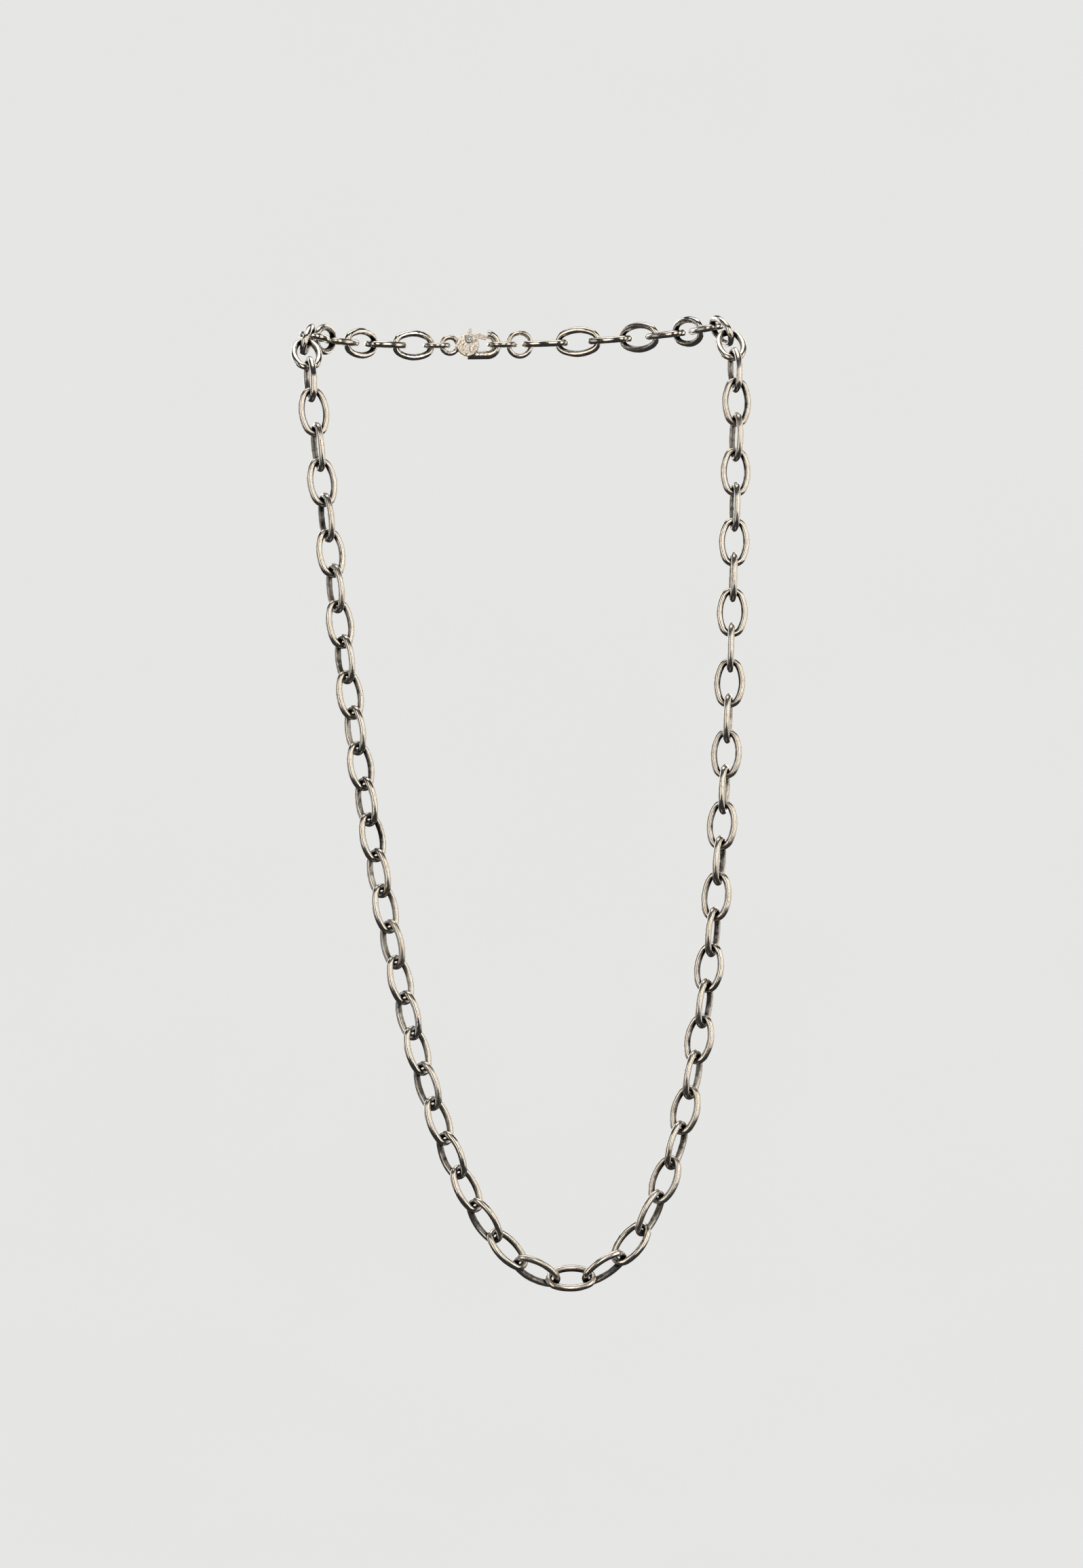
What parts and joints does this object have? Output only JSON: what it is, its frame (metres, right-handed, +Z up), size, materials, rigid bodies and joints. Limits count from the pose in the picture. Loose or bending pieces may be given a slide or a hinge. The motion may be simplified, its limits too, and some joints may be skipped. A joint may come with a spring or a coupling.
{
  "type": "chain necklace",
  "caption": "Long cable chain necklace of oval round-wire links in darkened silver, hung as on a neck, closed at the back by a lobster clasp",
  "frame": {"origin": "middle of the run behind the neck, where the neck holds the necklace up", "axes": "X across the wearer, -Y the front where the loop hangs, +Z up"},
  "size_m": [0.1036, 0.0581, 0.2267],
  "materials": {
    "silver_link": "antiqued silver: worn bright warm wire with black patina in the joints",
    "silver_finding": "antiqued cast silver, polished on the raised faces",
    "spring_steel": "drawn wire, satin"
  },
  "bodies": {
    "neck_run": {"neck_links": "silver_link", "jump_rings": "silver_finding", "end_ring": "silver_finding", "clasp_body": "silver_finding", "clasp_pin": "spring_steel", "clasp_spring": "spring_steel"},
    "clasp_lever": {"clasp_lever": "silver_finding"},
    "bottom_link": {"bottom_link": "silver_link"},
    "left_link_01": {"left_link_01": "silver_link"},
    "left_link_02": {"left_link_02": "silver_link"},
    "left_link_03": {"left_link_03": "silver_link"},
    "left_link_04": {"left_link_04": "silver_link"},
    "left_link_05": {"left_link_05": "silver_link"},
    "left_link_06": {"left_link_06": "silver_link"},
    "left_link_07": {"left_link_07": "silver_link"},
    "left_link_08": {"left_link_08": "silver_link"},
    "left_link_09": {"left_link_09": "silver_link"},
    "left_link_10": {"left_link_10": "silver_link"},
    "left_link_11": {"left_link_11": "silver_link"},
    "left_link_12": {"left_link_12": "silver_link"},
    "left_link_13": {"left_link_13": "silver_link"},
    "left_link_14": {"left_link_14": "silver_link"},
    "left_link_15": {"left_link_15": "silver_link"},
    "left_link_16": {"left_link_16": "silver_link"},
    "left_link_17": {"left_link_17": "silver_link"},
    "left_link_18": {"left_link_18": "silver_link"},
    "left_link_19": {"left_link_19": "silver_link"},
    "left_link_20": {"left_link_20": "silver_link"},
    "left_link_21": {"left_link_21": "silver_link"},
    "left_link_22": {"left_link_22": "silver_link"},
    "left_link_23": {"left_link_23": "silver_link"},
    "left_link_24": {"left_link_24": "silver_link"},
    "left_link_25": {"left_link_25": "silver_link"},
    "left_link_26": {"left_link_26": "silver_link"},
    "right_link_01": {"right_link_01": "silver_link"},
    "right_link_02": {"right_link_02": "silver_link"},
    "right_link_03": {"right_link_03": "silver_link"},
    "right_link_04": {"right_link_04": "silver_link"},
    "right_link_05": {"right_link_05": "silver_link"},
    "right_link_06": {"right_link_06": "silver_link"},
    "right_link_07": {"right_link_07": "silver_link"},
    "right_link_08": {"right_link_08": "silver_link"},
    "right_link_09": {"right_link_09": "silver_link"},
    "right_link_10": {"right_link_10": "silver_link"},
    "right_link_11": {"right_link_11": "silver_link"},
    "right_link_12": {"right_link_12": "silver_link"},
    "right_link_13": {"right_link_13": "silver_link"},
    "right_link_14": {"right_link_14": "silver_link"},
    "right_link_15": {"right_link_15": "silver_link"},
    "right_link_16": {"right_link_16": "silver_link"},
    "right_link_17": {"right_link_17": "silver_link"},
    "right_link_18": {"right_link_18": "silver_link"},
    "right_link_19": {"right_link_19": "silver_link"},
    "right_link_20": {"right_link_20": "silver_link"},
    "right_link_21": {"right_link_21": "silver_link"},
    "right_link_22": {"right_link_22": "silver_link"},
    "right_link_23": {"right_link_23": "silver_link"},
    "right_link_24": {"right_link_24": "silver_link"},
    "right_link_25": {"right_link_25": "silver_link"},
    "right_link_26": {"right_link_26": "silver_link"}
  },
  "joints": [
    {"name": "left_swing_26", "type": "hinge", "parent": "neck_run", "child": "left_link_26", "pos_m": [-0.04802, -0.05204, -0.02114], "axis": [1, 0, 0], "range_deg": [-45, 45]},
    {"name": "right_swing_26", "type": "hinge", "parent": "neck_run", "child": "right_link_26", "pos_m": [0.04802, -0.05204, -0.02114], "axis": [1, 0, 0], "range_deg": [-45, 45]},
    {"name": "left_swing_25", "type": "hinge", "parent": "left_link_26", "child": "left_link_25", "pos_m": [-0.04736, -0.05204, -0.03092], "axis": [-1, 0, 0], "range_deg": [-45, 45]},
    {"name": "right_swing_25", "type": "hinge", "parent": "right_link_26", "child": "right_link_25", "pos_m": [0.04736, -0.05204, -0.03092], "axis": [-1, 0, 0], "range_deg": [-45, 45]},
    {"name": "left_swing_24", "type": "hinge", "parent": "left_link_25", "child": "left_link_24", "pos_m": [-0.04692, -0.05204, -0.03711], "axis": [1, 0, 0], "range_deg": [-45, 45]},
    {"name": "right_swing_24", "type": "hinge", "parent": "right_link_25", "child": "right_link_24", "pos_m": [0.04692, -0.05204, -0.03711], "axis": [1, 0, 0], "range_deg": [-45, 45]},
    {"name": "left_swing_23", "type": "hinge", "parent": "left_link_24", "child": "left_link_23", "pos_m": [-0.04621, -0.05204, -0.04688], "axis": [-1, 0, 0], "range_deg": [-45, 45]},
    {"name": "right_swing_23", "type": "hinge", "parent": "right_link_24", "child": "right_link_23", "pos_m": [0.04621, -0.05204, -0.04688], "axis": [-1, 0, 0], "range_deg": [-45, 45]},
    {"name": "left_swing_22", "type": "hinge", "parent": "left_link_23", "child": "left_link_22", "pos_m": [-0.04573, -0.05204, -0.05306], "axis": [1, 0, 0], "range_deg": [-45, 45]},
    {"name": "right_swing_22", "type": "hinge", "parent": "right_link_23", "child": "right_link_22", "pos_m": [0.04573, -0.05204, -0.05306], "axis": [1, 0, 0], "range_deg": [-45, 45]},
    {"name": "left_swing_21", "type": "hinge", "parent": "left_link_22", "child": "left_link_21", "pos_m": [-0.04495, -0.05204, -0.06283], "axis": [-1, 0, 0], "range_deg": [-45, 41]},
    {"name": "right_swing_21", "type": "hinge", "parent": "right_link_22", "child": "right_link_21", "pos_m": [0.04495, -0.05204, -0.06283], "axis": [-1, 0, 0], "range_deg": [-45, 41]},
    {"name": "left_swing_20", "type": "hinge", "parent": "left_link_21", "child": "left_link_20", "pos_m": [-0.04443, -0.05204, -0.06901], "axis": [1, 0, 0], "range_deg": [-42, 39]},
    {"name": "right_swing_20", "type": "hinge", "parent": "right_link_21", "child": "right_link_20", "pos_m": [0.04443, -0.05204, -0.06901], "axis": [1, 0, 0], "range_deg": [-42, 39]},
    {"name": "left_swing_19", "type": "hinge", "parent": "left_link_20", "child": "left_link_19", "pos_m": [-0.04357, -0.05204, -0.07877], "axis": [-1, 0, 0], "range_deg": [-36, 33]},
    {"name": "right_swing_19", "type": "hinge", "parent": "right_link_20", "child": "right_link_19", "pos_m": [0.04357, -0.05204, -0.07877], "axis": [-1, 0, 0], "range_deg": [-36, 33]},
    {"name": "left_swing_18", "type": "hinge", "parent": "left_link_19", "child": "left_link_18", "pos_m": [-0.043, -0.05204, -0.08495], "axis": [1, 0, 0], "range_deg": [-34, 32]},
    {"name": "right_swing_18", "type": "hinge", "parent": "right_link_19", "child": "right_link_18", "pos_m": [0.043, -0.05204, -0.08495], "axis": [1, 0, 0], "range_deg": [-34, 32]},
    {"name": "left_swing_17", "type": "hinge", "parent": "left_link_18", "child": "left_link_17", "pos_m": [-0.04205, -0.05204, -0.0947], "axis": [-1, 0, 0], "range_deg": [-31, 29]},
    {"name": "right_swing_17", "type": "hinge", "parent": "right_link_18", "child": "right_link_17", "pos_m": [0.04205, -0.05204, -0.0947], "axis": [-1, 0, 0], "range_deg": [-31, 29]},
    {"name": "left_swing_16", "type": "hinge", "parent": "left_link_17", "child": "left_link_16", "pos_m": [-0.04141, -0.05204, -0.10087], "axis": [1, 0, 0], "range_deg": [-30, 28]},
    {"name": "right_swing_16", "type": "hinge", "parent": "right_link_17", "child": "right_link_16", "pos_m": [0.04141, -0.05204, -0.10087], "axis": [1, 0, 0], "range_deg": [-30, 28]},
    {"name": "left_swing_15", "type": "hinge", "parent": "left_link_16", "child": "left_link_15", "pos_m": [-0.04034, -0.05204, -0.11061], "axis": [-1, 0, 0], "range_deg": [-27, 26]},
    {"name": "right_swing_15", "type": "hinge", "parent": "right_link_16", "child": "right_link_15", "pos_m": [0.04034, -0.05204, -0.11061], "axis": [-1, 0, 0], "range_deg": [-27, 26]},
    {"name": "left_swing_14", "type": "hinge", "parent": "left_link_15", "child": "left_link_14", "pos_m": [-0.03962, -0.05204, -0.11676], "axis": [1, 0, 0], "range_deg": [-27, 25]},
    {"name": "right_swing_14", "type": "hinge", "parent": "right_link_15", "child": "right_link_14", "pos_m": [0.03962, -0.05204, -0.11676], "axis": [1, 0, 0], "range_deg": [-27, 25]},
    {"name": "left_swing_13", "type": "hinge", "parent": "left_link_14", "child": "left_link_13", "pos_m": [-0.0384, -0.05204, -0.12649], "axis": [-1, 0, 0], "range_deg": [-25, 25]},
    {"name": "right_swing_13", "type": "hinge", "parent": "right_link_14", "child": "right_link_13", "pos_m": [0.0384, -0.05204, -0.12649], "axis": [-1, 0, 0], "range_deg": [-25, 25]},
    {"name": "left_swing_12", "type": "hinge", "parent": "left_link_13", "child": "left_link_12", "pos_m": [-0.03757, -0.05204, -0.13263], "axis": [1, 0, 0], "range_deg": [-26, 24]},
    {"name": "right_swing_12", "type": "hinge", "parent": "right_link_13", "child": "right_link_12", "pos_m": [0.03757, -0.05204, -0.13263], "axis": [1, 0, 0], "range_deg": [-26, 24]},
    {"name": "left_swing_11", "type": "hinge", "parent": "left_link_12", "child": "left_link_11", "pos_m": [-0.03614, -0.05204, -0.14233], "axis": [-1, 0, 0], "range_deg": [-24, 24]},
    {"name": "right_swing_11", "type": "hinge", "parent": "right_link_12", "child": "right_link_11", "pos_m": [0.03614, -0.05204, -0.14233], "axis": [-1, 0, 0], "range_deg": [-24, 24]},
    {"name": "left_swing_10", "type": "hinge", "parent": "left_link_11", "child": "left_link_10", "pos_m": [-0.03517, -0.05204, -0.14845], "axis": [1, 0, 0], "range_deg": [-25, 22]},
    {"name": "right_swing_10", "type": "hinge", "parent": "right_link_11", "child": "right_link_10", "pos_m": [0.03517, -0.05204, -0.14845], "axis": [1, 0, 0], "range_deg": [-25, 22]},
    {"name": "left_swing_09", "type": "hinge", "parent": "left_link_10", "child": "left_link_09", "pos_m": [-0.03347, -0.05204, -0.1581], "axis": [-1, 0, 0], "range_deg": [-23, 23]},
    {"name": "right_swing_09", "type": "hinge", "parent": "right_link_10", "child": "right_link_09", "pos_m": [0.03347, -0.05204, -0.1581], "axis": [-1, 0, 0], "range_deg": [-23, 23]},
    {"name": "left_swing_08", "type": "hinge", "parent": "left_link_09", "child": "left_link_08", "pos_m": [-0.03228, -0.05204, -0.16419], "axis": [1, 0, 0], "range_deg": [-25, 21]},
    {"name": "right_swing_08", "type": "hinge", "parent": "right_link_09", "child": "right_link_08", "pos_m": [0.03228, -0.05204, -0.16419], "axis": [1, 0, 0], "range_deg": [-25, 21]},
    {"name": "left_swing_07", "type": "hinge", "parent": "left_link_08", "child": "left_link_07", "pos_m": [-0.03018, -0.05204, -0.17376], "axis": [-1, 0, 0], "range_deg": [-22, 23]},
    {"name": "right_swing_07", "type": "hinge", "parent": "right_link_08", "child": "right_link_07", "pos_m": [0.03018, -0.05204, -0.17376], "axis": [-1, 0, 0], "range_deg": [-22, 23]},
    {"name": "left_swing_06", "type": "hinge", "parent": "left_link_07", "child": "left_link_06", "pos_m": [-0.02867, -0.05204, -0.17978], "axis": [1, 0, 0], "range_deg": [-25, 20]},
    {"name": "right_swing_06", "type": "hinge", "parent": "right_link_07", "child": "right_link_06", "pos_m": [0.02867, -0.05204, -0.17978], "axis": [1, 0, 0], "range_deg": [-25, 20]},
    {"name": "left_swing_05", "type": "hinge", "parent": "left_link_06", "child": "left_link_05", "pos_m": [-0.02591, -0.05204, -0.18918], "axis": [-1, 0, 0], "range_deg": [-21, 23]},
    {"name": "right_swing_05", "type": "hinge", "parent": "right_link_06", "child": "right_link_05", "pos_m": [0.02591, -0.05204, -0.18918], "axis": [-1, 0, 0], "range_deg": [-21, 23]},
    {"name": "left_swing_04", "type": "hinge", "parent": "left_link_05", "child": "left_link_04", "pos_m": [-0.02387, -0.05204, -0.19504], "axis": [1, 0, 0], "range_deg": [-27, 19]},
    {"name": "right_swing_04", "type": "hinge", "parent": "right_link_05", "child": "right_link_04", "pos_m": [0.02387, -0.05204, -0.19504], "axis": [1, 0, 0], "range_deg": [-27, 19]},
    {"name": "left_swing_03", "type": "hinge", "parent": "left_link_04", "child": "left_link_03", "pos_m": [-0.01993, -0.05204, -0.20401], "axis": [-1, 0, 0], "range_deg": [-19, 25]},
    {"name": "right_swing_03", "type": "hinge", "parent": "right_link_04", "child": "right_link_03", "pos_m": [0.01993, -0.05204, -0.20401], "axis": [-1, 0, 0], "range_deg": [-19, 25]},
    {"name": "left_swing_02", "type": "hinge", "parent": "left_link_03", "child": "left_link_02", "pos_m": [-0.01684, -0.05204, -0.20941], "axis": [1, 0, 0], "range_deg": [-29, 15]},
    {"name": "right_swing_02", "type": "hinge", "parent": "right_link_03", "child": "right_link_02", "pos_m": [0.01684, -0.05204, -0.20941], "axis": [1, 0, 0], "range_deg": [-29, 15]},
    {"name": "left_swing_01", "type": "hinge", "parent": "left_link_02", "child": "left_link_01", "pos_m": [-0.01036, -0.05204, -0.21677], "axis": [-1, 0, 0], "range_deg": [-12, 29]},
    {"name": "right_swing_01", "type": "hinge", "parent": "right_link_02", "child": "right_link_01", "pos_m": [0.01036, -0.05204, -0.21677], "axis": [-1, 0, 0], "range_deg": [-12, 29]},
    {"name": "bottom_swing", "type": "hinge", "parent": "left_link_01", "child": "bottom_link", "pos_m": [-0.004, -0.05204, -0.22004], "axis": [1, 0, 0], "range_deg": [-19, 5]},
    {"name": "clasp_gate", "type": "hinge", "parent": "neck_run", "child": "clasp_lever", "pos_m": [-0.00635, -0.00217, 0.00101], "axis": [-0.084, 0.9745, 0.2079], "range_deg": [0, 28], "stiffness_Nm_per_rad": 0.007, "springref_deg": -20.05, "deforming": ["clasp_spring"]}
  ],
  "couplings": [
    {"joint": "right_swing_26", "follows": "left_swing_26", "ratio": 1},
    {"joint": "right_swing_25", "follows": "left_swing_25", "ratio": 1},
    {"joint": "right_swing_24", "follows": "left_swing_24", "ratio": 1},
    {"joint": "right_swing_23", "follows": "left_swing_23", "ratio": 1},
    {"joint": "right_swing_22", "follows": "left_swing_22", "ratio": 1},
    {"joint": "right_swing_21", "follows": "left_swing_21", "ratio": 1},
    {"joint": "right_swing_20", "follows": "left_swing_20", "ratio": 1},
    {"joint": "right_swing_19", "follows": "left_swing_19", "ratio": 1},
    {"joint": "right_swing_18", "follows": "left_swing_18", "ratio": 1},
    {"joint": "right_swing_17", "follows": "left_swing_17", "ratio": 1},
    {"joint": "right_swing_16", "follows": "left_swing_16", "ratio": 1},
    {"joint": "right_swing_15", "follows": "left_swing_15", "ratio": 1},
    {"joint": "right_swing_14", "follows": "left_swing_14", "ratio": 1},
    {"joint": "right_swing_13", "follows": "left_swing_13", "ratio": 1},
    {"joint": "right_swing_12", "follows": "left_swing_12", "ratio": 1},
    {"joint": "right_swing_11", "follows": "left_swing_11", "ratio": 1},
    {"joint": "right_swing_10", "follows": "left_swing_10", "ratio": 1},
    {"joint": "right_swing_09", "follows": "left_swing_09", "ratio": 1},
    {"joint": "right_swing_08", "follows": "left_swing_08", "ratio": 1},
    {"joint": "right_swing_07", "follows": "left_swing_07", "ratio": 1},
    {"joint": "right_swing_06", "follows": "left_swing_06", "ratio": 1},
    {"joint": "right_swing_05", "follows": "left_swing_05", "ratio": 1},
    {"joint": "right_swing_04", "follows": "left_swing_04", "ratio": 1},
    {"joint": "right_swing_03", "follows": "left_swing_03", "ratio": 1},
    {"joint": "right_swing_02", "follows": "left_swing_02", "ratio": 1},
    {"joint": "right_swing_01", "follows": "left_swing_01", "ratio": 1}
  ]
}
